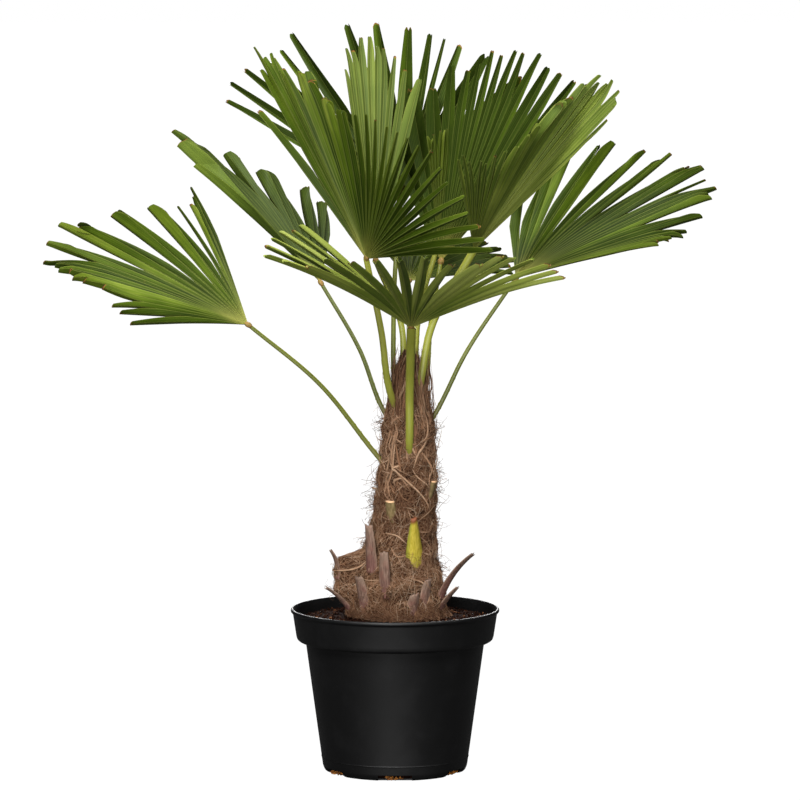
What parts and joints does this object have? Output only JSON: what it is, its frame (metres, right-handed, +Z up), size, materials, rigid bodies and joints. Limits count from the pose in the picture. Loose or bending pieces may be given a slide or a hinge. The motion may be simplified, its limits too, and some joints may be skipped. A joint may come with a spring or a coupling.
{
  "type": "potted windmill palm",
  "caption": "Young windmill palm with fan fronds on slender stalks and a fibrous trunk, in a round black nursery pot.",
  "frame": {"origin": "middle of the pot's flat underside", "axes": "+Z up along the pot's axis, -Y towards the front, +X to the plant's right as seen from the front"},
  "size_m": [0.8698, 0.5631, 0.9745],
  "materials": {
    "pot_plastic": "satin black moulded plastic",
    "soil": "dark crumbly peat",
    "trunk_fibre": "matted brown leaf-base fibre",
    "yellow_leaf_base": "smooth, waxy",
    "cut_leaf_base": "dry, with a pale cut end",
    "frond_green": "satin leaf with pale ribs"
  },
  "bodies": {
    "root": {"pot": "pot_plastic", "soil": "soil", "trunk": "trunk_fibre", "yellow_leaf_base": "yellow_leaf_base", "cut_leaf_base_left": "cut_leaf_base", "cut_leaf_base_right": "cut_leaf_base", "frond_far_left": "frond_green", "frond_left_back": "frond_green", "frond_front_high": "frond_green", "frond_front_low": "frond_green", "frond_far_right": "frond_green", "frond_right_front": "frond_green", "frond_right_back": "frond_green", "frond_back_high": "frond_green", "frond_upright": "frond_green", "frond_young": "frond_green", "frond_back_low": "frond_green"}
  },
  "joints": []
}
